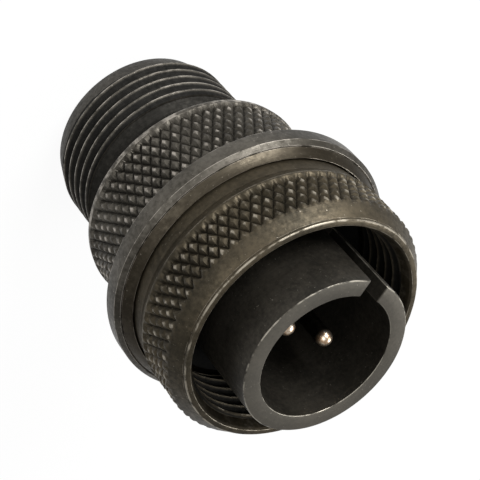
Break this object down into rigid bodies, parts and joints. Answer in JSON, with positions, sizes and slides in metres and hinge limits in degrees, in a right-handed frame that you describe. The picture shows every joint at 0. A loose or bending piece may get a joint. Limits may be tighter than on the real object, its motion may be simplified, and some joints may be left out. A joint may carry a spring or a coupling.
{
  "type": "circular connector plug",
  "caption": "Straight circular cable plug with a knurled, free-turning screw coupling nut, keyed barrel, pin contacts and threaded endbell.",
  "frame": {"origin": "centre of the endbell's rear face, on the plug's axis", "axes": "+Z along the plug's axis, from the wire entry to the mating face; +Y through the barrel's keyway; +X from contact_left to contact_right"},
  "size_m": [0.0278, 0.0278, 0.0369],
  "materials": {
    "shell_plating": "satin dark olive chromate over plating, worn paler at the mating face",
    "nut_plating": "satin dark olive chromate over plating, brighter on the knurl's tips",
    "endbell_plating": "satin dark olive-grey chromate over plating, brighter on edges and thread crests",
    "ring_plating": "satin dark olive chromate over plating",
    "contact_metal": "plated copper alloy, polished nose",
    "front_insert_plastic": "matte black moulding",
    "rear_insert_plastic": "matte black moulding",
    "seal_rubber": "matte black synthetic rubber",
    "grommet_rubber": "matte black synthetic rubber",
    "spring_steel": "bright spring steel",
    "follower_metal": "plain satin aluminium"
  },
  "bodies": {
    "plug": {"plug_shell": "shell_plating", "nut_guide_ring": "ring_plating", "nut_wave_washer": "spring_steel", "mating_gasket": "seal_rubber", "pin_insert": "front_insert_plastic", "rear_insert": "rear_insert_plastic", "contact_left": "contact_metal", "contact_right": "contact_metal", "insert_snap_ring": "spring_steel", "wire_grommet": "grommet_rubber", "grommet_follower": "follower_metal", "endbell": "endbell_plating", "endbell_oring": "seal_rubber"},
    "nut": {"coupling_nut": "nut_plating"}
  },
  "joints": [
    {"name": "nut_spin", "type": "hinge", "parent": "plug", "child": "nut", "pos_m": [0, 0, 0.0281], "axis": [0, 0, 1], "continuous": true}
  ]
}
